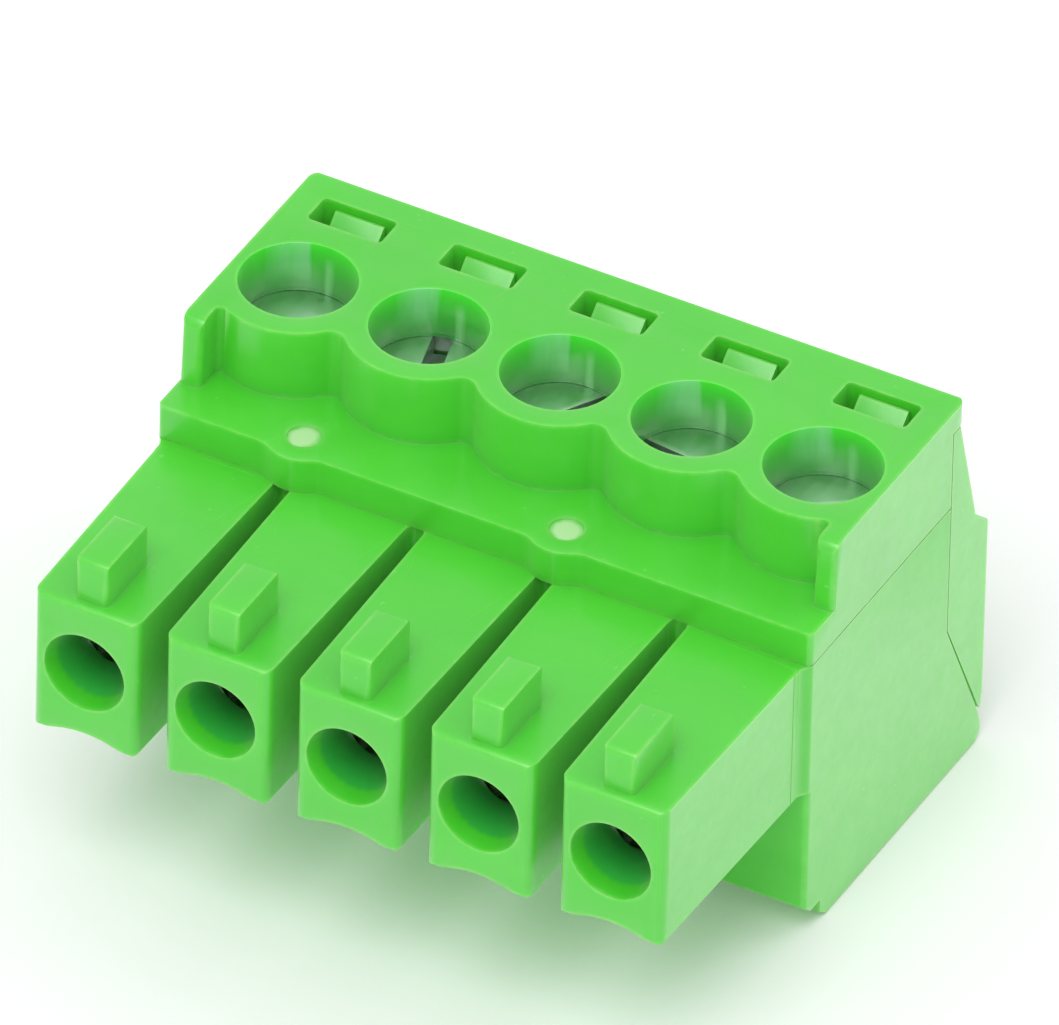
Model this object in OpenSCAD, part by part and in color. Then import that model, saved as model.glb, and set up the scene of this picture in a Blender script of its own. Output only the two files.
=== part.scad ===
// Five-pole pluggable screw terminal block.
// X runs along the row of poles, Y from the mating fingers (-) to the wire entries (+), Z up.
// The origin is the centre of the bounding box, at the underside.

/* [Row] */
// Distance from one pole to the next
pitch = 3.5; // [3.4:0.01:5.08]
// Gap left at each end so that plugs fit side by side
end_relief = 0.035; // [0:0.005:0.1]
// Overall height
height = 11.0; // [10.6:0.05:12]

/* [Lower housing] */
// Height of the joint between lower housing and screw cover
seam_z = 8.15; // [8.1:0.05:8.3]
// Screw axis to the front face of the lower housing
front_reach = 3.6; // [3.4:0.05:4]
// Screw axis to the rear face above the wire entries
back_reach = 3.27; // [3.15:0.01:3.4]
// Height of the slope under the front face
chamfer_h = 0.87; // [0.7:0.01:1]
// Radius of the upright front edges of the housing and of the ledge
edge_r = 0.15; // [0.05:0.01:0.15]
// Depth of the slope under the front face
chamfer_d = 1.12; // [0.9:0.01:1.3]
// Thickness of the deck that the screw heads stand on
deck_t = 0.4; // [0.3:0.05:0.45]

/* [Fingers] */
// Screw axis to the finger tips
tip_reach = 10.2; // [9.8:0.05:11]
// Width of a finger at its tip
finger_w = 2.78; // [2.7:0.01:2.9]
// Widening of a finger on each side for each millimetre of its length
finger_draft = 0.02; // [0:0.005:0.025]
// Height of a finger
finger_h = 3.94; // [3.8:0.01:4]
// Corner radius of a finger tip
tip_r = 0.3; // [0.1:0.05:0.4]
// Radius where a finger runs into the front face
root_r = 0.18; // [0.05:0.01:0.2]
// Radius along the lower edges of a finger
foot_r = 0.12; // [0.05:0.01:0.3]
// Width of the hollow under a finger
groove_w = 2.2; // [1.8:0.05:2.3]
// Depth of the hollow under a finger
groove_d = 0.25; // [0.1:0.01:0.3]
// Width of the coding rib on a finger
coding_w = 0.86; // [0.6:0.01:1]
// Length of the coding rib
coding_l = 1.95; // [1.5:0.05:2.5]
// Height of the coding rib
coding_h = 1.15; // [0.8:0.05:1.4]
// Distance from the finger tip to the coding rib
coding_set = 0.28; // [0.2:0.01:0.6]

/* [Pin entry] */
// Height of the pin axis
pin_z = 6.25; // [6.1:0.01:6.4]
// Radius of the funnel at the finger tip
funnel_r = 1.07; // [0.9:0.01:1.15]
// Depth of the funnel
funnel_d = 1.1; // [0.9:0.05:1.2]
// Radius of the channel behind the funnel
channel_r = 0.84; // [0.7:0.01:0.86]
// Length of that channel
channel_l = 0.5; // [0.4:0.05:0.6]

/* [Screw cover] */
// Height of the ledge in front of the screw towers
ledge_z = 9.1; // [8.9:0.05:9.3]
// Screw axis to the front of the ledge
ledge_reach = 3.66; // [3.6:0.01:4]
// Outer radius of a screw tower
tower_r = 2.05; // [1.9:0.01:2.2]
// Radius in the valley between two towers
valley_r = 0.35; // [0.2:0.01:0.5]
// Screw axis to the front of the end ribs at the ledge
rib_reach = 2.65; // [2.4:0.01:2.8]
// Lean of the end ribs towards the top
rib_lean = 3.5; // [0:0.5:8]
// Thickness of the end ribs
rib_t = 0.55; // [0.3:0.05:0.6]
// Radius of the end ribs' upper front corner
rib_round = 0.4; // [0.2:0.05:0.6]
// Radius of the screwdriver access bore
access_r = 1.435; // [1.3:0.005:1.5]
// Screw axis to the rear edge of the roof
roof_reach = 3.9; // [3.7:0.05:4.1]
// Thickness of the roof over the latch arms
roof_t = 0.64; // [0.55:0.01:0.8]
// Width of a latch window
window_w = 1.96; // [1.7:0.01:2.1]
// Screw axis to the front edge of a latch window
window_y = 2.19; // [2.1:0.01:2.3]
// Length of a latch window
window_l = 0.9; // [0.8:0.01:0.95]
// Radius of an ejector mark
mark_r = 0.42; // [0.3:0.01:0.5]
// Sideways offset of the ejector marks from the middle between two poles
mark_shift = 0.09; // [0:0.01:0.2]
// Depth of an ejector mark
mark_d = 0.04; // [0.02:0.01:0.1]
// Radius of the ledge around an ejector mark
boss_r = 0.95; // [0.8:0.01:1]

/* [Wire frame] */
// Screw axis to the rear face of the wire frame
rear_reach = 5.21; // [5.1:0.01:5.6]
// Height of the top of the frame's flange
flange_z = 6.62; // [6.4:0.01:6.8]
// Width of a wire funnel at the rear face
mouth_w = 2.7; // [2.4:0.05:2.9]
// Height of a wire funnel at the rear face
mouth_h = 3.3; // [3:0.05:3.6]
// Radius of the wire passage
wire_r = 0.99; // [0.8:0.01:1]
// Width of a latch arm
latch_w = 1.3; // [1.1:0.01:1.5]
// Thickness of a latch arm
latch_arm_t = 0.7; // [0.5:0.01:0.75]
// Depth of the latch crest below the roof
latch_drop = 0.22; // [0.1:0.01:0.4]
// Slope of the latch ramp
latch_ramp = 42; // [35:1:48]
// Gap at the joints between the three housing parts
seam_gap = 0.03; // [0.02:0.01:0.05]

/* [Clamp] */
// Radius of the screw head
head_r = 1.55; // [1.5:0.01:1.6]
// Height of the screw head
head_h = 1.4; // [1.2:0.05:1.4]
// Radius of the screw thread
thread_r = 1.0; // [0.9:0.01:1.0]
// Width of the driver slot
slot_w = 0.5; // [0.4:0.05:0.6]
// Depth of the driver slot
slot_d = 0.6; // [0.4:0.05:0.8]
// Outer width of the clamp cage
cage_w = 2.6; // [2.5:0.05:2.7]
// Length of the clamp cage along the wire
cage_l = 3.0; // [2.6:0.05:3.2]
// Thickness of the cage's side walls
cage_t = 0.3; // [0.25:0.01:0.35]
// Thickness of the cage's threaded top wall
cage_top_t = 0.75; // [0.6:0.05:0.8]
// Thickness of the cage's clamping floor
cage_floor_t = 0.5; // [0.4:0.05:0.6]
// Clear height inside the cage
cage_clear = 2.65; // [2.6:0.05:2.7]
// Rise of the cage from open to closed
cage_travel = 2.0; // [1.8:0.05:2.0]

/* [Contact] */
// Thickness of the contact strip
strip_t = 0.32; // [0.25:0.01:0.35]
// Half width of the contact tail
tail_hw = 0.85; // [0.7:0.01:0.9]
// Clear gap between the spring arms
contact_gap = 0.72; // [0.6:0.01:0.8]

/* [Hidden] */
poles = 5;
mid_pole = (poles - 1) / 2;
slot_angles = [51, 104, 60, -6, 37];
marked_gaps = [0, 2];
body_w = poles * pitch - 2 * end_relief;
screw_y = (tip_reach - rear_reach) / 2;
fine = 64;
eps = 0.01;

// Running and guide clearances inside the clamp
thread_play = 0.04;
guide_play = 0.1;
head_play = 0.07;
seat_play = 0.03;
plug_play = 0.04;
head_top_play = 0.02;
plug_h = 3.6;

finger_z = seam_z - finger_h;
finger_len = tip_reach - front_reach;
root_w = finger_w + 2 * finger_draft * finger_len;
deck_z = seam_z - deck_t;
cage_z = deck_z - guide_play - cage_travel - cage_top_t - cage_clear - cage_floor_t;
cage_open_z = cage_z + cage_floor_t;
cage_roof_z = cage_open_z + cage_clear;
tail_top_z = cage_roof_z - guide_play;
tail_z = tail_top_z - strip_t;
chamber_w = cage_w + 2 * guide_play;
chamber_front = -cage_l / 2 - guide_play;
chamber_back = cage_l / 2 + guide_play;
chamber_z = cage_z - guide_play;
head_z = seam_z + seat_play;
tip_z = tail_top_z + guide_play;
pocket_top = head_z + head_h + head_top_play;
window_back = window_y + window_l;
arm_top = height - roof_t - seam_gap;
wire_z = (cage_open_z + tail_z) / 2;

// Hollow inside a finger
socket_hw = 0.95;
socket_z = finger_z + groove_d + 0.4;
socket_top = seam_z - 0.6;
socket_front = -tip_reach + funnel_d + channel_l;

plastic_green = [0.26, 0.78, 0.20];
screw_metal = [0.78, 0.76, 0.70];
cage_metal = [0.80, 0.80, 0.78];
contact_metal = [0.84, 0.83, 0.79];

function pole_x(i) = (i - mid_pole) * pitch;
function mark_x(i) = pole_x(i) + pitch / 2 + mark_shift;
function unit(v) = v / norm(v);

// Points of a fillet of radius r at corner b, between neighbours a and c
function corner(a, b, c, r, n) =
    r == 0 ? [b] :
    let (u = unit(a - b), v = unit(c - b), half = acos(u * v) / 2)
    let (centre = b + unit(u + v) * r / sin(half), p = b + u * r / tan(half), q = b + v * r / tan(half))
    let (a0 = atan2(p.y - centre.y, p.x - centre.x), a1 = atan2(q.y - centre.y, q.x - centre.x))
    let (turn = (a1 - a0 + 900) % 360 - 180)
    [for (k = [0 : n]) centre + r * [cos(a0 + turn * k / n), sin(a0 + turn * k / n)]];

// Outline through corners given as [x, y, radius]
function rounded(c, n = 5) =
    [for (k = [0 : len(c) - 1])
        let (a = c[(k + len(c) - 1) % len(c)], b = c[k], d = c[(k + 1) % len(c)])
        each corner([a.x, a.y], [b.x, b.y], [d.x, d.y], b.z, n)];

// Puts what is drawn around the screw axes into the part's frame
module placed() {
    translate([0, screw_y, 0]) children();
}

// Repeats for each pole, on its screw axis
module each_pole() {
    for (i = [0 : poles - 1]) translate([pole_x(i), 0, 0]) children();
}

// Sweeps an outline drawn in Y and Z along X, centred
module along_x(w) {
    rotate([90, 0, 90]) linear_extrude(height = w, center = true) children();
}

// Box from its lowest to its highest corner
module span(lo, hi) {
    translate(lo) cube(hi - lo);
}

// ---- lower housing ----

flare_r = 0.35;
rear_foot_z = 0.83;
joint_z = 4.45;
groove_y = 0.31;

module housing_side() {
    notch_y = chamfer_d - 0.35;
    slope = chamfer_h / chamfer_d;
    polygon(rounded([
        [-front_reach, seam_z, 0],
        [-front_reach, chamfer_h, 0.05],
        [-front_reach + groove_y, chamfer_h - slope * groove_y, 0],
        [-front_reach + notch_y, chamfer_h - slope * groove_y, 0],
        [-front_reach + notch_y, chamfer_h - slope * notch_y, 0],
        [-front_reach + chamfer_d, 0, 0.1],
        [rear_reach - 0.04, 0, 0.34],
        [rear_reach - 0.04, 0.4, 0.1],
        [rear_reach - 0.18, rear_foot_z, 0],
        [back_reach, joint_z, 0],
        [back_reach, seam_z, 0]]));
}

// Outline seen from above, with round upright edges at the front
module front_plan(reach, back) {
    polygon(rounded([
        [-body_w / 2, -reach, edge_r], [body_w / 2, -reach, edge_r],
        [body_w / 2, back, 0], [-body_w / 2, back, 0]]));
}

module finger_plan() {
    hw = finger_w / 2;
    rw = root_w / 2;
    polygon(rounded([
        [-hw, -tip_reach, tip_r], [hw, -tip_reach, tip_r],
        [rw, -front_reach, 0], [rw, -front_reach + 0.5, 0],
        [-rw, -front_reach + 0.5, 0], [-rw, -front_reach, 0]]));
}

// Quarter-round webs on both sides of one gap between two fingers, at the front face
module root_webs() {
    for (s = [-1, 1]) mirror([s < 0 ? 1 : 0, 0])
        translate([(root_w - pitch) / 2 - 0.02, -front_reach - root_r]) difference() {
            square([root_r + 0.02, root_r + 0.1]);
            translate([root_r + 0.02, 0]) circle(r = root_r, $fn = fine);
        }
}

// Flare that joins the outer side of an end finger to the side of the housing
module end_flare() {
    side = pole_x(poles - 1) + root_w / 2;
    polygon(rounded([
        [side - 0.3, -front_reach - 0.5, 0], [side, -front_reach - 0.5, 0],
        [side, -front_reach - 0.2, flare_r], [body_w / 2, -front_reach + 0.04, edge_r],
        [body_w / 2, -front_reach + 0.3, 0], [side - 0.3, -front_reach + 0.3, 0]]));
}

module finger_side() {
    polygon(rounded([
        [-tip_reach, finger_z, 0.12], [-front_reach + 0.5, finger_z, 0],
        [-front_reach + 0.5, seam_z, 0], [-tip_reach, seam_z, 0.16]]));
}

// What is cut away to round one lower edge of a finger, running along +Y
module foot_cut() {
    translate([0, -0.5, 0]) rotate([-90, 0, 0]) linear_extrude(height = finger_len + 0.5)
        difference() {
            translate([-foot_r, -foot_r]) square(foot_r + 0.3);
            translate([-foot_r, -foot_r]) circle(r = foot_r, $fn = fine);
        }
}

module finger_body() {
    groove_r = (groove_w * groove_w / 4 + groove_d * groove_d) / (2 * groove_d);
    difference() {
        intersection() {
            translate([0, 0, finger_z]) linear_extrude(height = finger_h) finger_plan();
            along_x(root_w + 1) finger_side();
        }
        translate([0, -tip_reach - 1, finger_z + groove_d - groove_r]) rotate([-90, 0, 0])
            cylinder(r = groove_r, h = finger_len + 1, $fn = 128);
        for (s = [-1, 1]) mirror([s < 0 ? 1 : 0, 0, 0])
            translate([finger_w / 2, -tip_reach, finger_z]) rotate([0, 0, -atan(finger_draft)])
                foot_cut();
    }
}

module coding_rib() {
    hw = coding_w / 2;
    base_y = -tip_reach + coding_set;
    top = seam_z + coding_h;
    edge = 0.14;
    intersection() {
        along_x(coding_w + 1) polygon(rounded([
            [base_y, seam_z - 0.2, 0], [base_y + coding_l, seam_z - 0.2, 0],
            [base_y + coding_l - 0.03, top, 0.1], [base_y + 0.03, top, edge]]));
        translate([0, 0, seam_z - 1]) linear_extrude(height = coding_h + 2) polygon(rounded([
            [-hw, base_y, edge], [hw, base_y, edge],
            [hw, base_y + coding_l, 0.05], [-hw, base_y + coding_l, 0.05]]));
    }
}

module pin_entry() {
    translate([0, -tip_reach, pin_z]) rotate([-90, 0, 0]) {
        translate([0, 0, -eps]) cylinder(r1 = funnel_r, r2 = channel_r, h = funnel_d + eps, $fn = fine);
        cylinder(r = channel_r, h = funnel_d + channel_l + eps, $fn = fine);
    }
}

// Hollow for the contact and the clamp cage of one pole
module pole_hollow() {
    pin_entry();
    span([-socket_hw, socket_front, socket_z], [socket_hw, chamber_front + eps, socket_top]);
    span([-tail_hw - guide_play, -front_reach + 0.2, tail_z - seat_play],
         [tail_hw + guide_play, chamber_front + eps, socket_top]);
    span([-chamber_w / 2, chamber_front, chamber_z], [chamber_w / 2, rear_reach + 1, deck_z]);
    translate([0, 0, deck_z - eps]) cylinder(r = thread_r + guide_play, h = deck_t + 1, $fn = fine);
}

module lower_housing() {
    color(plastic_green) placed() difference() {
        union() {
            intersection() {
                along_x(body_w) housing_side();
                linear_extrude(height = height) front_plan(front_reach, rear_reach + 1);
            }
            each_pole() finger_body();
            translate([0, 0, finger_z + foot_r]) linear_extrude(height = finger_h - foot_r) {
                for (i = [0 : poles - 2]) translate([pole_x(i) + pitch / 2, 0]) root_webs();
                for (s = [-1, 1]) mirror([s < 0 ? 1 : 0, 0]) end_flare();
            }
            each_pole() coding_rib();
        }
        each_pole() pole_hollow();
    }
}

// ---- screw cover ----

lip_r = 0.3;
seam_depth = 0.05;
window_r = 0.12;
mark_bow = 0.27;

// Outline of the towers, with round valleys between them and inside the end ribs
module tower_plan() {
    valley_y = -sqrt(pow(tower_r + valley_r, 2) - pow(pitch / 2, 2));
    rib_x = body_w / 2 - rib_t;
    end_x = rib_x - pole_x(poles - 1);
    end_r = 0.15;
    end_y = -sqrt(pow(tower_r + end_r, 2) - pow(end_x - end_r, 2));
    difference() {
        union() {
            intersection() {
                each_pole() circle(r = tower_r, $fn = 96);
                translate([-body_w / 2, -tower_r - 1]) square([body_w, 2 * tower_r + 2]);
            }
            for (i = [0 : poles - 2]) translate([pole_x(i) + pitch / 2, 0])
                polygon([[-pitch / 2, 0], [0, valley_y], [pitch / 2, 0]]);
            translate([-body_w / 2, 0]) square([body_w, back_reach]);
            for (s = [-1, 1]) mirror([s < 0 ? 1 : 0, 0])
                polygon([[rib_x - end_x, 0], [rib_x - end_r, end_y], [body_w / 2, end_y], [body_w / 2, 0]]);
        }
        for (i = [0 : poles - 2]) translate([pole_x(i) + pitch / 2, valley_y])
            circle(r = valley_r, $fn = fine);
        for (s = [-1, 1]) translate([s * (rib_x - end_r + 0.005), end_y]) circle(r = end_r, $fn = fine);
    }
}

// End rib, leaning back with the height
module end_rib() {
    rib_x = body_w / 2 - rib_t;
    intersection() {
        translate([0, -rib_reach, ledge_z]) rotate([-rib_lean, 0, 0])
            translate([0, 0, -1]) linear_extrude(height = height) polygon(rounded([
                [rib_x, 0, 0.15], [body_w / 2, 0, 0.15],
                [body_w / 2, rib_reach, 0], [rib_x, rib_reach, 0]]));
        along_x(2 * body_w) polygon(rounded([
            [-0.2, ledge_z - 0.3, 0], [-rib_reach - 0.04, ledge_z - 0.3, 0],
            [-rib_reach - 0.02 + (height - ledge_z) * tan(rib_lean), height, rib_round],
            [-0.2, height, 0]]));
    }
}

// Outline of the ledge, drawn out in a smooth bow around each ejector mark
module ledge_plan() {
    sweep_r = 0.6;
    mark_y = -ledge_reach + boss_r - mark_bow;
    sweep_y = -ledge_reach - sweep_r;
    sweep_x = sqrt(pow(boss_r + sweep_r, 2) - pow(mark_y - sweep_y, 2));
    front_plan(ledge_reach, back_reach);
    for (i = marked_gaps) translate([mark_x(i), 0]) {
        translate([0, mark_y]) circle(r = boss_r, $fn = fine);
        for (s = [-1, 1]) difference() {
            polygon([[s * sweep_x, -ledge_reach + eps], [s * sweep_x, sweep_y], [0, mark_y]]);
            translate([s * sweep_x, sweep_y]) circle(r = sweep_r, $fn = fine);
        }
    }
}

module roof_lip() {
    lip_z = height - roof_t;
    intersection() {
        along_x(body_w) polygon([
            [back_reach - 0.5, lip_z], [back_reach + 0.37, lip_z],
            [roof_reach - 0.03, lip_z + 0.35], [roof_reach, height - 0.05],
            [roof_reach - 0.05, height], [back_reach - 0.5, height]]);
        linear_extrude(height = height + 1) polygon(rounded([
            [-body_w / 2, 0, 0], [body_w / 2, 0, 0],
            [body_w / 2, roof_reach, lip_r], [-body_w / 2, roof_reach, lip_r]]));
    }
}

module latch_window() {
    floor_z = arm_top - 0.8;
    translate([0, 0, floor_z]) linear_extrude(height = height) polygon(rounded([
        [-window_w / 2, window_y, window_r], [window_w / 2, window_y, window_r],
        [window_w / 2, window_back, window_r], [-window_w / 2, window_back, window_r]]));
    span([-latch_w / 2 - guide_play, window_y, floor_z],
         [latch_w / 2 + guide_play, back_reach + 1, height - roof_t]);
}

module screw_cover() {
    mark_y = -ledge_reach + boss_r - mark_bow;
    color(plastic_green) placed() difference() {
        union() {
            translate([0, 0, seam_z]) linear_extrude(height = ledge_z - seam_z) ledge_plan();
            translate([0, 0, seam_z]) linear_extrude(height = height - seam_z) tower_plan();
            roof_lip();
            for (s = [-1, 1]) mirror([s < 0 ? 1 : 0, 0, 0]) end_rib();
        }
        for (s = [-1, 1]) mirror([s < 0 ? 1 : 0, 0, 0])
            span([body_w / 2 - seam_depth, -ledge_reach - 1, seam_z - 1],
                 [body_w, back_reach + 1, seam_z + seam_gap]);
        each_pole() {
            translate([0, 0, -eps]) cylinder(r = access_r, h = height + 1, $fn = fine);
            cylinder(r = head_r + head_play, h = pocket_top, $fn = fine);
            latch_window();
        }
        for (i = marked_gaps) translate([mark_x(i), mark_y, ledge_z - mark_d])
            cylinder(r = mark_r, h = 1, $fn = fine);
    }
}

// ---- wire frame ----

module frame_side() {
    shoulder_z = flange_z + 0.48;
    front = back_reach + seam_gap;
    polygon(rounded([
        [front, joint_z + 0.02, 0],
        [rear_reach - 0.15, rear_foot_z + 0.12, 0],
        [rear_reach - 0.07, rear_foot_z + 0.1, 0],
        [rear_reach, rear_foot_z + 0.6, 0.3],
        [rear_reach, flange_z - 0.1, 0.2],
        [rear_reach - 0.65, shoulder_z, 0.1],
        [back_reach + 0.37, arm_top, 0],
        [front, arm_top, 0]]));
}

// Wire funnel of one pole: narrows from the rear face to a round passage
module wire_funnel() {
    throat_w = cage_w - 2 * cage_t;
    throat_h = tail_z - cage_open_z;
    throat_y = back_reach + 0.4;
    intersection() {
        linear_extrude(height = height) polygon([
            [throat_w / 2, throat_y], [mouth_w / 2, rear_reach + eps],
            [-mouth_w / 2, rear_reach + eps], [-throat_w / 2, throat_y]]);
        along_x(pitch) polygon([
            [throat_y, wire_z - throat_h / 2],
            [rear_reach + eps, wire_z - mouth_h / 2 + 0.1], [rear_reach + eps, wire_z + mouth_h / 2 + 0.1],
            [throat_y, wire_z + throat_h / 2]]);
    }
    translate([0, throat_y + eps, wire_z]) rotate([90, 0, 0]) cylinder(r = wire_r, h = 3, $fn = fine);
}

// Block that closes the hollow behind a clamp cage and carries the wire passage
module wire_plug() {
    side = chamber_w / 2 - plug_play;
    low = chamber_z + plug_play;
    span([-side, chamber_back, low], [side, rear_reach - 0.4, low + plug_h]);
}

// Arm that reaches forward under the roof and stands up in its latch window
module latch_arm() {
    arm_z = arm_top - latch_arm_t;
    nose_front = window_y;
    nose_back = window_back - seam_gap;
    crest_z = height - latch_drop;
    ramp_z = crest_z - (nose_back - 0.06 - nose_front) * tan(latch_ramp);
    along_x(latch_w) polygon([
        [back_reach + 0.2, arm_z], [nose_front, arm_z],
        [nose_front, ramp_z], [nose_back - 0.06, crest_z], [nose_back, crest_z],
        [nose_back, arm_top], [back_reach + 0.2, arm_top]]);
}

module wire_frame() {
    color(plastic_green) placed() difference() {
        union() {
            along_x(body_w) frame_side();
            span([-body_w / 2 + seam_depth, back_reach, joint_z + seam_depth],
                 [body_w / 2 - seam_depth, back_reach + 0.2, arm_top - seam_depth]);
            each_pole() latch_arm();
            each_pole() wire_plug();
        }
        each_pole() wire_funnel();
    }
}

// ---- clamp ----

module clamp_screw(i) {
    edge = 0.08;
    point = 0.2;
    color(screw_metal) placed() translate([pole_x(i), 0, 0]) difference() {
        union() {
            translate([0, 0, head_z]) cylinder(r = head_r, h = head_h - edge, $fn = fine);
            translate([0, 0, head_z + head_h - edge])
                cylinder(r1 = head_r, r2 = head_r - edge, h = edge, $fn = fine);
            translate([0, 0, tip_z + point]) cylinder(r = thread_r, h = head_z - tip_z, $fn = fine);
            translate([0, 0, tip_z])
                cylinder(r1 = thread_r - point, r2 = thread_r, h = point, $fn = fine);
        }
        translate([0, 0, head_z + head_h - slot_d]) rotate([0, 0, slot_angles[i]])
            translate([-head_r - 1, -slot_w / 2, 0]) cube([2 * head_r + 2, slot_w, slot_d + 1]);
    }
}

// Cage that the screw draws up: a square tube along the wire with a tapped top wall
module clamp_cage(i) {
    top = cage_roof_z + cage_top_t;
    rib_step = 0.6;
    color(cage_metal) placed() translate([pole_x(i), 0, 0]) difference() {
        rotate([90, 0, 0]) linear_extrude(height = cage_l, center = true) polygon(rounded([
            [-cage_w / 2, cage_z, 0.2], [cage_w / 2, cage_z, 0.2],
            [cage_w / 2, top, 0.2], [-cage_w / 2, top, 0.2]]));
        span([-cage_w / 2 + cage_t, -cage_l, cage_open_z], [cage_w / 2 - cage_t, cage_l, cage_roof_z]);
        translate([0, 0, cage_roof_z - 1]) cylinder(r = thread_r + thread_play, h = 3, $fn = fine);
        for (y = [-rib_step, 0, rib_step])
            translate([0, y, cage_open_z]) rotate([45, 0, 0])
                cube([cage_w - 2 * cage_t, 0.2, 0.2], center = true);
    }
}

// ---- contact ----

module contact(i) {
    base_z = socket_z;
    step_y = -front_reach + 0.4;
    arm_top_z = pin_z + 0.9;
    arm_z = base_z + strip_t + 0.15;
    root_front = -front_reach - 2;
    nose_y = socket_front + 0.7;
    tip_y = socket_front + 0.1;
    in_x = contact_gap / 2;
    color(contact_metal) placed() translate([pole_x(i), 0, 0]) {
        along_x(2 * tail_hw) polygon([
            [root_front, base_z], [step_y, base_z], [step_y + 0.5, tail_z], [cage_l / 2, tail_z],
            [cage_l / 2, tail_top_z], [step_y + 0.65, tail_top_z], [step_y + 0.15, base_z + strip_t],
            [root_front, base_z + strip_t]]);
        span([-0.5, tip_y, base_z], [0.5, root_front + eps, base_z + strip_t]);
        for (s = [-1, 1]) mirror([s < 0 ? 1 : 0, 0, 0]) {
            span([tail_hw - strip_t, root_front, base_z + eps], [tail_hw, root_front + 1.2, arm_top_z]);
            translate([0, 0, arm_z]) linear_extrude(height = arm_top_z - arm_z) polygon([
                [tail_hw - strip_t, root_front + eps], [in_x, nose_y + 0.15], [in_x, nose_y - 0.15],
                [in_x + 0.2, tip_y], [in_x + 0.2 + strip_t * 0.8, tip_y],
                [in_x + strip_t, nose_y], [tail_hw, root_front + eps]]);
        }
    }
}

lower_housing();
screw_cover();
wire_frame();
clamp_screw(0);  // clamp_screw_1
clamp_screw(1);  // clamp_screw_2
clamp_screw(2);  // clamp_screw_3
clamp_screw(3);  // clamp_screw_4
clamp_screw(4);  // clamp_screw_5
clamp_cage(0);  // clamp_cage_1
clamp_cage(1);  // clamp_cage_2
clamp_cage(2);  // clamp_cage_3
clamp_cage(3);  // clamp_cage_4
clamp_cage(4);  // clamp_cage_5
contact(0);  // contact_1
contact(1);  // contact_2
contact(2);  // contact_3
contact(3);  // contact_4
contact(4);  // contact_5
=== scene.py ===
import math
import bmesh
import bpy
from mathutils import Matrix, Vector


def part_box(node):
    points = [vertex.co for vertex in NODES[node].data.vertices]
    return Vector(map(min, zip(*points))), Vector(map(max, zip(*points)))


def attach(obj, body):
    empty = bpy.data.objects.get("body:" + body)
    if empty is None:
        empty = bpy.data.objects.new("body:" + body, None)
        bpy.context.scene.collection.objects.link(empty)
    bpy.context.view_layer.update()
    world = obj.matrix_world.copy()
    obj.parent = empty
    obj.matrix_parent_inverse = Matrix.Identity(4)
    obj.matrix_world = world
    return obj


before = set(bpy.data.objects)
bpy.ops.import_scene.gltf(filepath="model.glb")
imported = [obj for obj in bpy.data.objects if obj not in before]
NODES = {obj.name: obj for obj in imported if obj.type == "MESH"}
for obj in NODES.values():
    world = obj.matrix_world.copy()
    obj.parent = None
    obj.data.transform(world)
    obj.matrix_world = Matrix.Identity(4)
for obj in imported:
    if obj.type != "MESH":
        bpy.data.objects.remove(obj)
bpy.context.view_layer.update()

MM = 0.001
POLES = range(1, 6)

scene = bpy.context.scene


def centre(node):
    low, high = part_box(node)
    return [(low[k] + high[k]) / 2 for k in range(3)]


PITCH = (centre("clamp_screw_5")[0] - centre("clamp_screw_1")[0]) / 4
AXIS_Y = centre("clamp_screw_3")[1]
HEAD_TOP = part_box("clamp_screw_3")[1][2]
ROOF_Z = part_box("screw_cover")[1][2]
SEAM_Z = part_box("screw_cover")[0][2]
COVER_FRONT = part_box("screw_cover")[0][1]
SIDE_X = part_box("screw_cover")[1][0]
FINGER_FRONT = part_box("lower_housing")[0][1]
BORE_R = 1.435 * MM        # screwdriver bores
POCKET_R = 1.66 * MM       # head pockets under the bores
PIN_Z = 6.25 * MM          # round holes in the fingers' ends
PIN_R = 0.95 * MM
PIN_DEPTH = 3.2 * MM
LEDGE_Z = 9.1 * MM
MARK_Y = AXIS_Y - 2.98 * MM    # ejector marks on the ledge
MARK_R = 0.42 * MM
MARKS_X = [k * PITCH + 0.09 * MM for k in (-1.5, 0.5)]
EDGE_GLOW = 0.16 * MM      # how far the painted edge highlights and the rounded normals reach
HOLLOW_REACH = 0.45 * MM   # how far the painted shade of a hollow corner reaches
PLASTIC_BEVEL = 0.06 * MM
FRAME_BEVEL = 0.05 * MM
METAL_BEVEL = 0.03 * MM
SHARP = 40                 # degrees
WELD = 0.002 * MM
LIP = 0.10 * MM            # width and height of the bores' lips
LIP_STEPS = 96
STRIP = 0.06 * MM          # thickness of the strips in the joints
COVER_JOINT_DEPTH = 0.018 * MM
FRAME_JOINT_DEPTH = 0.05 * MM


# ---- camera, at the photograph's viewing angle ----

CAMERA_PLACE = Vector((316.3882, -601.1183, 545.2040)) * MM
CAMERA_RIGHT = Vector((0.87771676, 0.47877057, 0.01979978))
CAMERA_DOWN = Vector((0.31054834, -0.53687944, -0.78442348))
CAMERA_AHEAD = Vector((-0.36492879, 0.69465042, -0.61990949))
FOCAL_PIXELS = 37000.0
IMAGE_WIDTH = 1059.0
SENSOR = 36.0


def make_camera():
    data = bpy.data.cameras.new("camera")
    data.sensor_width = SENSOR
    data.sensor_fit = "HORIZONTAL"
    data.lens = FOCAL_PIXELS * SENSOR / IMAGE_WIDTH
    data.clip_start = 0.01
    data.clip_end = 20.0
    camera = bpy.data.objects.new("camera", data)
    scene.collection.objects.link(camera)
    turn = Matrix((CAMERA_RIGHT, -CAMERA_DOWN, -CAMERA_AHEAD)).transposed().to_4x4()
    turn.translation = CAMERA_PLACE
    camera.matrix_world = turn
    scene.camera = camera


make_camera()


# ---- materials ----

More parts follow.
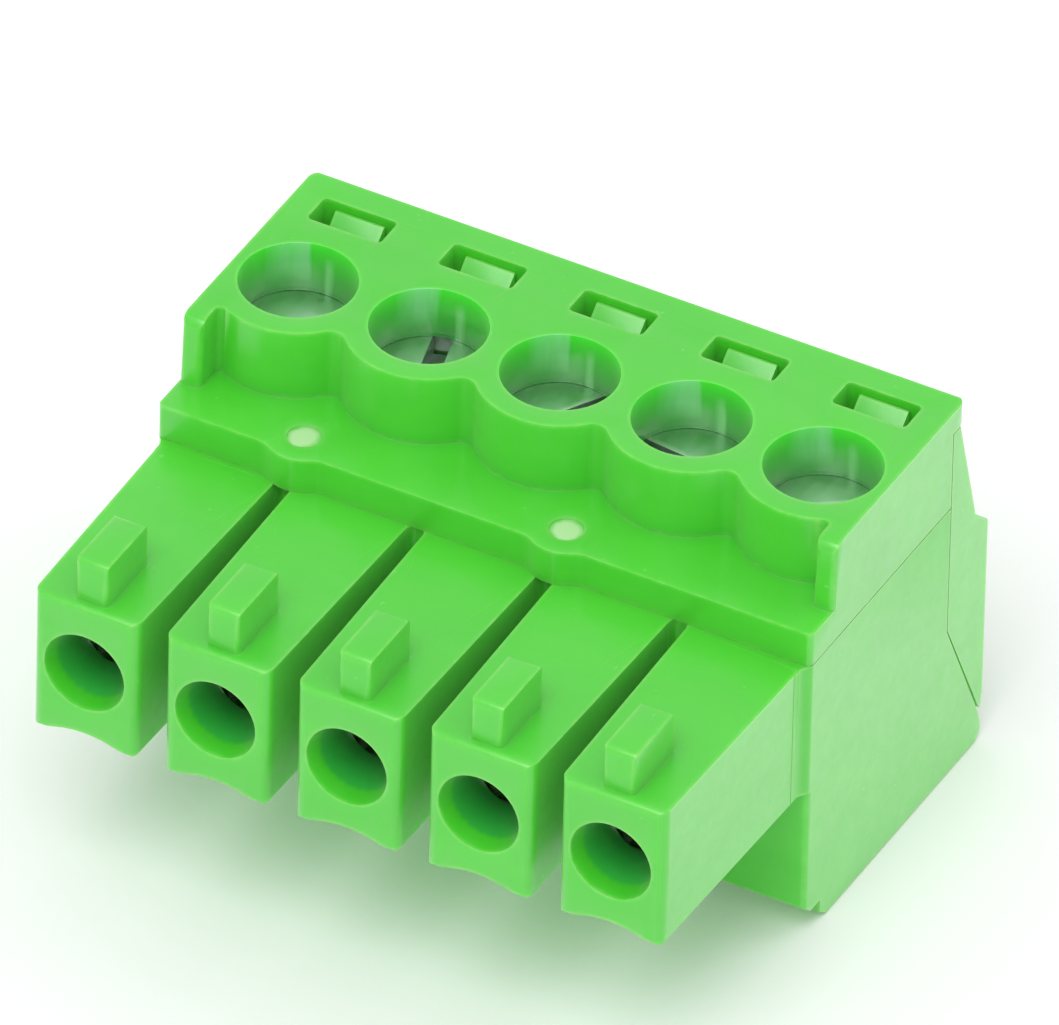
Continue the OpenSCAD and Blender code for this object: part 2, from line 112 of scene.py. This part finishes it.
class Nodes:
    """Short ways to add nodes to a new material."""

    def __init__(self, name):
        self.mat = bpy.data.materials.new(name)
        self.mat.use_nodes = True
        self.tree = self.mat.node_tree
        self.shader = next(n for n in self.tree.nodes if n.type == "BSDF_PRINCIPLED")
        self.coords = self.add("ShaderNodeTexCoord").outputs["Object"]

    def add(self, kind, **values):
        node = self.tree.nodes.new(kind)
        for key, value in values.items():
            setattr(node, key, value)
        return node

    def link(self, a, b):
        self.tree.links.new(a, b)

    def noise(self, scale, detail=3.0, rough=0.5, stretch=None, distortion=0.0):
        node = self.add("ShaderNodeTexNoise")
        node.inputs["Scale"].default_value = scale
        node.inputs["Detail"].default_value = detail
        node.inputs["Roughness"].default_value = rough
        node.inputs["Distortion"].default_value = distortion
        if stretch:
            mapping = self.add("ShaderNodeMapping")
            mapping.inputs["Scale"].default_value = stretch
            self.link(self.coords, mapping.inputs["Vector"])
            self.link(mapping.outputs["Vector"], node.inputs["Vector"])
        else:
            self.link(self.coords, node.inputs["Vector"])
        return node.outputs["Fac"]

    def spread(self, value, low, high, to_low=0.0, to_high=1.0):
        node = self.add("ShaderNodeMapRange")
        node.inputs["From Min"].default_value = low
        node.inputs["From Max"].default_value = high
        node.inputs["To Min"].default_value = to_low
        node.inputs["To Max"].default_value = to_high
        self.link(value, node.inputs["Value"])
        return node.outputs["Result"]

    def mix(self, factor, a, b):
        node = self.add("ShaderNodeMix", data_type="RGBA")
        if isinstance(factor, float):
            node.inputs["Factor"].default_value = factor
        else:
            self.link(factor, node.inputs["Factor"])
        ins = [s for s in node.inputs if s.type == "RGBA"]
        outs = [s for s in node.outputs if s.type == "RGBA"]
        for socket, value in zip(ins, (a, b)):
            if isinstance(value, tuple):
                socket.default_value = value + (1.0,)
            else:
                self.link(value, socket)
        return outs[0]

    def math(self, operation, *values):
        node = self.add("ShaderNodeMath", operation=operation)
        for socket, value in zip(node.inputs, values):
            if isinstance(value, (int, float)):
                socket.default_value = value
            else:
                self.link(value, socket)
        return node.outputs["Value"]

    def away(self, place):
        """Distance from a place."""
        node = self.add("ShaderNodeVectorMath", operation="DISTANCE")
        self.link(self.coords, node.inputs[0])
        node.inputs[1].default_value = place
        return node.outputs["Value"]

    def place(self):
        """The place's x from the nearest pole's plane, y and z."""
        split = self.add("ShaderNodeSeparateXYZ")
        self.link(self.coords, split.inputs[0])
        x = self.math("WRAP", split.outputs["X"], PITCH / 2, -PITCH / 2)
        return x, split.outputs["Y"], split.outputs["Z"]

    def length(self, a, b):
        return self.math("SQRT", self.math("ADD", self.math("MULTIPLY", a, a), self.math("MULTIPLY", b, b)))

    def bump(self, height, distance, strength=1.0, after=None):
        node = self.add("ShaderNodeBump")
        node.inputs["Strength"].default_value = strength
        node.inputs["Distance"].default_value = distance
        self.link(height, node.inputs["Height"])
        if after is not None:
            self.link(after, node.inputs["Normal"])
        return node.outputs["Normal"]

    def rounded(self, radius, reach, samples=1):
        """The normal rounded at the edges that stand out, a mask of them, and one of the hollows."""
        bevel = self.add("ShaderNodeBevel", samples=samples)
        bevel.inputs["Radius"].default_value = radius
        near = self.add("ShaderNodeAmbientOcclusion", samples=samples, only_local=True)
        near.inputs["Distance"].default_value = reach
        convex = self.spread(near.outputs["AO"], 0.80, 0.95)
        hollow = self.spread(near.outputs["AO"], 0.30, 0.95, 1.0, 0.0)
        plain = self.add("ShaderNodeNewGeometry")
        normal = self.add("ShaderNodeMix", data_type="VECTOR")
        ends = [s for s in normal.inputs if s.type == "VECTOR"]
        self.link(convex, normal.inputs["Factor"])
        self.link(plain.outputs["Normal"], ends[0])
        self.link(bevel.outputs["Normal"], ends[1])
        turned = self.add("ShaderNodeVectorMath", operation="DOT_PRODUCT")
        self.link(bevel.outputs["Normal"], turned.inputs[0])
        self.link(plain.outputs["True Normal"], turned.inputs[1])
        edge = self.spread(turned.outputs["Value"], 0.99, 0.82)
        result = [s for s in normal.outputs if s.type == "VECTOR"][0]
        return result, self.math("MULTIPLY", edge, convex), hollow

    def bore(self):
        """Masks of the bores' walls and of the pockets below, and the angle and height in them."""
        x, y, z = self.place()
        y = self.math("SUBTRACT", y, AXIS_Y)
        radius = self.length(x, y)
        floor = HEAD_TOP - 0.02 * MM
        wall = self.math("MULTIPLY", self.spread(radius, BORE_R + 0.01 * MM, BORE_R + 0.04 * MM, 1.0, 0.0),
                         self.spread(z, floor, HEAD_TOP))
        pocket = self.math("MULTIPLY", self.spread(radius, POCKET_R, POCKET_R + 0.03 * MM, 1.0, 0.0),
                           self.spread(z, floor, HEAD_TOP, 1.0, 0.0))
        pocket = self.math("MULTIPLY", pocket, self.spread(z, SEAM_Z, SEAM_Z + 0.05 * MM))
        angle = self.math("MULTIPLY", self.math("ARCTAN2", y, x), 180.0 / math.pi)
        return wall, pocket, angle, self.spread(z, HEAD_TOP, ROOF_Z)

    def pin_hole(self):
        """A mask of the fingers' round holes and the depth in them."""
        x, y, z = self.place()
        radius = self.length(x, self.math("SUBTRACT", z, PIN_Z))
        depth = self.spread(y, FINGER_FRONT + 0.1 * MM, FINGER_FRONT + PIN_DEPTH)
        inside = self.math("MULTIPLY", self.spread(radius, PIN_R, PIN_R + 0.03 * MM, 1.0, 0.0),
                           self.math("LESS_THAN", y, 0.0))
        return self.math("MULTIPLY", inside, self.spread(depth, 0.0, 0.02)), depth


# the wall tones are painted shade at the foot and painted light at the mouth; the two pale band colours are
# painted reflections
WALL_SHADED_FOOT, WALL_LIT_MOUTH = (0.006, 0.340, 0.010), (0.050, 0.780, 0.020)
REFLECTION_BROAD, REFLECTION_NARROW = (0.26, 0.76, 0.32), (0.30, 0.82, 0.30)


def bore_wall(m, angle, height):
    """The bores' walls: painted shade at the foot, painted light towards the mouth, and painted reflections in two
    pale upright bands.
    """
    streak = m.noise(2600.0, 2.0, 0.6, stretch=(1.0, 1.0, 0.12))
    angle = m.math("ADD", angle, m.math("MULTIPLY", m.math("SUBTRACT", streak, 0.5), 14.0))
    # painted shade deep in the bore, painted light at its mouth
    tone = m.mix(m.spread(height, 0.05, 0.95), WALL_SHADED_FOOT, WALL_LIT_MOUTH)
    # painted reflection: a broad pale band
    broad = m.math("MULTIPLY", m.spread(angle, 107.0, 111.0), m.spread(angle, 132.0, 154.0, 1.0, 0.0))
    broad = m.math("MULTIPLY", broad, m.spread(height, 0.18, 0.55))
    tone = m.mix(m.math("MULTIPLY", broad, m.spread(streak, 0.30, 0.60, 0.35, 0.75)), tone, REFLECTION_BROAD)
    # painted reflection: a narrow pale streak higher up
    narrow = m.math("MULTIPLY", m.spread(angle, 82.0, 87.0), m.spread(angle, 90.0, 94.0, 1.0, 0.0))
    narrow = m.math("MULTIPLY", narrow, m.spread(height, 0.55, 0.80, 1.0, 0.0))
    return m.mix(m.math("MULTIPLY", narrow, m.spread(streak, 0.30, 0.60, 0.30, 0.70)), tone, REFLECTION_NARROW)


GREEN_A, GREEN_B = (0.054, 0.590, 0.014), (0.067, 0.634, 0.020)
# the hollow colour is painted shade in the hollow corners; the pale edge colour is a painted highlight along the
# edges that stand out
GREEN_SPECK, GREEN_HOLLOW_SHADE, GREEN_EDGE_HIGHLIGHT = (0.30, 0.78, 0.24), (0.028, 0.500, 0.016), (0.34, 0.78, 0.19)
# the pocket colour is painted shade on the pockets' walls below the heads
GREEN_POCKET_SHADE, GREEN_MARK = (0.012, 0.140, 0.014), (0.50, 0.79, 0.40)
# the pin holes' colours are painted shade that deepens inwards, tinted blue as a painted reflection
PIN_SHADE_MOUTH, PIN_SHADE_END = (0.032, 0.520, 0.050), (0.010, 0.230, 0.070)


def green_plastic():
    """Moulded polyamide: fine grain, slow flow marks and pale ejector marks, with painted highlights along the
    edges, painted shade in the hollows, pockets and pin holes, and painted shade, light and reflections on the
    bores' walls.
    """
    m = Nodes("green_plastic")
    s = m.shader
    round_normal, edge, hollow = m.rounded(EDGE_GLOW, HOLLOW_REACH)
    flow = m.noise(400.0, 2.0, 0.55, stretch=(0.5, 1.0, 1.7))
    fine = m.noise(2600.0, 2.0, 0.62)
    base = m.mix(m.spread(flow, 0.3, 0.7), GREEN_A, GREEN_B)
    base = m.mix(m.spread(fine, 0.72, 0.78, 0.0, 0.30), base, GREEN_SPECK)
    # painted shade: hollow corners darkened to a deeper green
    base = m.mix(m.math("MULTIPLY", hollow, 0.65), base, GREEN_HOLLOW_SHADE)
    # painted highlight: pale lines along the edges that stand out
    base = m.mix(m.math("MULTIPLY", edge, m.spread(fine, 0.35, 0.65, 0.20, 0.70)), base, GREEN_EDGE_HIGHLIGHT)
    wall, pocket, angle, height = m.bore()
    # painted shade, light and reflections on the bores' walls
    base = m.mix(wall, base, bore_wall(m, angle, height))
    # painted shade: the pockets' walls darkened almost to black-green
    base = m.mix(pocket, base, GREEN_POCKET_SHADE)
    hole, depth = m.pin_hole()
    # painted shade in the pin holes, darker and bluer with depth
    base = m.mix(hole, base, m.mix(depth, PIN_SHADE_MOUTH, PIN_SHADE_END))
    away = m.math("MINIMUM", *[m.away((x, MARK_Y, LEDGE_Z)) for x in MARKS_X])
    rim = m.math("ADD", away, m.math("MULTIPLY", fine, 0.5 * MARK_R))
    base = m.mix(m.spread(rim, 0.95 * MARK_R, 1.30 * MARK_R, 1.0, 0.0), base, GREEN_MARK)
    dish = m.spread(away, 0.72 * MARK_R, 1.76 * MARK_R, 1.0, 0.0)
    base = m.mix(m.math("MULTIPLY", dish, 0.10), base, GREEN_MARK)
    m.link(base, s.inputs["Base Color"])
    matt = m.math("ADD", m.math("MULTIPLY", hollow, 0.25), m.math("MULTIPLY", wall, 0.30))
    m.link(m.math("ADD", matt, m.spread(fine, 0.3, 0.7, 0.36, 0.48)), s.inputs["Roughness"])
    s.inputs["IOR"].default_value = 1.55
    s.inputs["Subsurface Weight"].default_value = 0.30
    s.inputs["Subsurface Radius"].default_value = (0.45, 1.0, 0.20)
    s.inputs["Subsurface Scale"].default_value = 0.8 * MM
    s.inputs["Coat Weight"].default_value = 0.9
    s.inputs["Coat Roughness"].default_value = 0.24
    s.inputs["Sheen Weight"].default_value = 0.16
    s.inputs["Sheen Roughness"].default_value = 0.5
    s.inputs["Sheen Tint"].default_value = (1.0, 0.96, 0.80, 1.0)
    normal = m.bump(dish, 0.06 * MM, 0.5, after=round_normal)
    normal = m.bump(m.noise(700.0, 1.0, 0.5), 0.03 * MM, 0.2, after=normal)
    normal = m.bump(m.noise(14000.0, 1.0, 0.6), 0.005 * MM, 0.3, after=normal)
    m.link(normal, s.inputs["Normal"])
    m.link(normal, s.inputs["Coat Normal"])
    return m.mat


def plated_metal(name, light, dark, rough_low, rough_high, stretch):
    """Stained plating with brush marks along the axes that stretch makes long."""
    m = Nodes(name)
    s = m.shader
    s.inputs["Metallic"].default_value = 1.0
    stain = m.noise(900.0, 4.0, 0.6)
    m.link(m.mix(m.spread(stain, 0.3, 0.7), light, dark), s.inputs["Base Color"])
    brushed = m.noise(6000.0, 3.0, 0.6, stretch=stretch)
    m.link(m.spread(brushed, 0.25, 0.75, rough_low, rough_high), s.inputs["Roughness"])
    m.link(m.bump(brushed, 0.0015 * MM, 0.2), s.inputs["Normal"])
    return m.mat


PLASTIC = green_plastic()
SCREW = plated_metal("screw_steel", (0.87, 0.89, 0.92), (0.77, 0.80, 0.83), 0.28, 0.42, (1.0, 0.3, 1.0))
CAGE = plated_metal("cage_steel", (0.72, 0.72, 0.70), (0.58, 0.58, 0.56), 0.25, 0.42, (1.0, 0.1, 1.0))
CONTACT = plated_metal("contact_bronze", (0.82, 0.80, 0.76), (0.70, 0.68, 0.63), 0.22, 0.38, (0.2, 1.0, 1.0))


# ---- the CAD nodes, dressed ----

def weigh_edges(part, least, seam):
    """Marks edges that turn by over least degrees: for the bevel where they stand out, else sharp."""
    mesh = part.data
    grid = 0.001 * MM
    place = [tuple(round(c / grid) for c in v.co) for v in mesh.vertices]
    sides = {}
    for polygon in mesh.polygons:
        corners = [place[v] for v in polygon.vertices]
        if len(set(corners)) == len(corners):
            for pair in zip(corners, corners[1:] + corners[:1]):
                sides.setdefault(frozenset(pair), []).append(polygon)
    weights = []
    for edge in mesh.edges:
        a, b = edge.vertices
        faces = sides.get(frozenset((place[a], place[b])), [])
        weight = 0.0
        if len(faces) >= 2:
            one = faces[0]
            other = max(faces[1:], key=lambda face: one.normal.angle(face.normal, 0.0))
            middle = (mesh.vertices[a].co + mesh.vertices[b].co) / 2
            if math.degrees(one.normal.angle(other.normal, 0.0)) > least:
                if one.normal.dot(other.center - middle) < 0 and not seam(middle):
                    weight = 1.0
                else:
                    edge.use_edge_sharp = True
        weights.append(weight)
    marks = mesh.attributes.new("bevel_weight_edge", "FLOAT", "EDGE")
    marks.data.foreach_set("value", weights)


def dress(node, material, edge, segments, seam=None):
    """Gives a CAD node its material and rounds its edges, with seam only those that stand out and aren't on it."""
    part = NODES[node]
    part.data.materials.clear()
    part.data.materials.append(material)
    for polygon in part.data.polygons:
        polygon.material_index = 0
        polygon.use_smooth = True
    weld = part.modifiers.new("weld", "WELD")
    weld.merge_threshold = WELD
    bevel = part.modifiers.new("edges", "BEVEL")
    bevel.width = edge
    bevel.segments = segments
    if seam:
        weigh_edges(part, SHARP, seam)
        bevel.limit_method = "WEIGHT"
    else:
        bevel.limit_method = "ANGLE"
        bevel.angle_limit = math.radians(SHARP)
    bevel.harden_normals = False
    bevel.miter_outer = "MITER_ARC"
    smooth = part.modifiers.new("smooth", "WEIGHTED_NORMAL")
    smooth.keep_sharp = True


def housing_seam(p):
    return p.z > SEAM_Z - PLASTIC_BEVEL and p.y > COVER_FRONT - 0.02 * MM


def cover_seam(p):
    return p.z < SEAM_Z + PLASTIC_BEVEL


def no_seam(p):
    return False


dress("lower_housing", PLASTIC, PLASTIC_BEVEL, 3, housing_seam)
dress("screw_cover", PLASTIC, PLASTIC_BEVEL, 3, cover_seam)
dress("wire_frame", PLASTIC, FRAME_BEVEL, 3, no_seam)
for i in POLES:
    dress("clamp_screw_%d" % i, SCREW, METAL_BEVEL, 2)
    dress("clamp_cage_%d" % i, CAGE, METAL_BEVEL, 2)
    dress("contact_%d" % i, CONTACT, METAL_BEVEL, 2)


# ---- thin trim of the housing ----

def trim(name, work):
    """Makes a plastic piece that rides on the housing from a bmesh."""
    bmesh.ops.recalc_face_normals(work, faces=work.faces)
    mesh = bpy.data.meshes.new(name)
    work.to_mesh(mesh)
    work.free()
    mesh.materials.append(PLASTIC)
    piece = bpy.data.objects.new(name, mesh)
    scene.collection.objects.link(piece)
    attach(piece, "housing")
    return piece


def bore_lip(i):
    """The thin lip at the foot of a screwdriver bore, just above the screw's head."""
    x = centre("clamp_screw_%d" % i)[0]
    foot, top = HEAD_TOP + 0.002 * MM, HEAD_TOP + LIP
    inner = BORE_R - 0.004 * MM
    profile = [(BORE_R + LIP, top), (BORE_R + LIP, foot), (BORE_R + 0.01 * MM, foot),
               (inner, foot + 0.01 * MM), (inner, top)]
    work = bmesh.new()
    rings = []
    for k in range(LIP_STEPS):
        turn = 2 * math.pi * k / LIP_STEPS
        rings.append([work.verts.new((x + r * math.cos(turn), AXIS_Y + r * math.sin(turn), z))
                      for r, z in profile])
    for k in range(LIP_STEPS):
        here, there = rings[k], rings[(k + 1) % LIP_STEPS]
        for j in range(len(profile)):
            n = (j + 1) % len(profile)
            work.faces.new((here[j], here[n], there[n], there[j]))
    lip = trim("bore_lip_%d" % i, work)
    for polygon in lip.data.polygons:
        polygon.use_smooth = True
    split = lip.modifiers.new("split", "EDGE_SPLIT")
    split.split_angle = math.radians(30)


def side_strip(name, side, outline, depth):
    """A thin strip of the plastic inside a joint of the side wall, depth below its surface."""
    far, near = side * (SIDE_X - depth), side * (SIDE_X - depth - STRIP)
    work = bmesh.new()
    outer = [work.verts.new((far, y * MM, z * MM)) for y, z in outline]
    inner = [work.verts.new((near, y * MM, z * MM)) for y, z in outline]
    work.faces.new(outer)
    work.faces.new(inner)
    for k in range(len(outline)):
        n = (k + 1) % len(outline)
        work.faces.new((outer[k], outer[n], inner[n], inner[k]))
    trim(name, work)


# outlines of the joints on the side walls, y and z in millimetres
COVER_JOINT = [(-1.05, 8.145), (5.74, 8.145), (5.74, 8.185), (-1.05, 8.185)]
FRAME_JOINT = [(7.395, 1.05), (7.535, 1.05), (5.83, 4.46), (5.82, 10.25), (5.74, 10.25), (5.74, 4.43)]

for i in POLES:
    bore_lip(i)
for side, label in ((1, "right"), (-1, "left")):
    side_strip("cover_joint_" + label, side, COVER_JOINT, COVER_JOINT_DEPTH)
    side_strip("frame_joint_" + label, side, FRAME_JOINT, FRAME_JOINT_DEPTH)


# ---- floor, backdrop and light ----

FLOOR_SIZE = 3.0
FLOOR_DROP = 0.02 * MM
FLOOR_SEEN = 0.07              # glow of the floor where the camera sees it
FLOOR_MIRRORED = (0.02, 0.30)  # and where the gloss mirrors it, in front of the part and behind it
WORLD_STRENGTH = 0.75
AIM = (0, 0, 0.005)


def make_floor():
    """A pale floor that keeps the shadow and stays near white in the picture and in reflections."""
    size = FLOOR_SIZE
    mesh = bpy.data.meshes.new("floor")
    mesh.from_pydata([(-size, -size, 0), (size, -size, 0), (size, size, 0), (-size, size, 0)], [], [(0, 1, 2, 3)])
    floor = bpy.data.objects.new("floor", mesh)
    scene.collection.objects.link(floor)
    floor.location.z = -FLOOR_DROP
    m = Nodes("floor")
    s = m.shader
    s.inputs["Base Color"].default_value = (0.93, 0.93, 0.94, 1.0)
    s.inputs["Roughness"].default_value = 0.6
    s.inputs["Specular IOR Level"].default_value = 0.2
    path = m.add("ShaderNodeLightPath")
    seen = m.math("MULTIPLY", path.outputs["Is Camera Ray"], FLOOR_SEEN)
    split = m.add("ShaderNodeSeparateXYZ")
    m.link(m.coords, split.inputs[0])
    behind = m.spread(split.outputs["Y"], -7 * MM, 5 * MM, *FLOOR_MIRRORED)
    mirrored = m.math("MULTIPLY", path.outputs["Is Glossy Ray"], behind)
    s.inputs["Emission Color"].default_value = (1.0, 1.0, 1.0, 1.0)
    m.link(m.math("MAXIMUM", seen, mirrored), s.inputs["Emission Strength"])
    mesh.materials.append(m.mat)


def area_light(name, place, size, power):
    """A round white lamp that faces the part."""
    data = bpy.data.lights.new(name, "AREA")
    data.shape = "DISK"
    data.size = size
    data.energy = power
    lamp = bpy.data.objects.new(name, data)
    scene.collection.objects.link(lamp)
    lamp.location = place
    lamp.rotation_euler = (Vector(AIM) - Vector(place)).to_track_quat("-Z", "Y").to_euler()


make_floor()
area_light("front", (0.02, -0.23, 0.39), 0.30, 0.84)
area_light("window", (0.13, 0.10, 0.20), 0.12, 0.05)

world = bpy.data.worlds.new("studio")
scene.world = world
world.use_nodes = True
background = world.node_tree.nodes["Background"]
background.inputs["Color"].default_value = (1.0, 1.0, 1.0, 1.0)
background.inputs["Strength"].default_value = WORLD_STRENGTH

scene.view_settings.view_transform = "Standard"
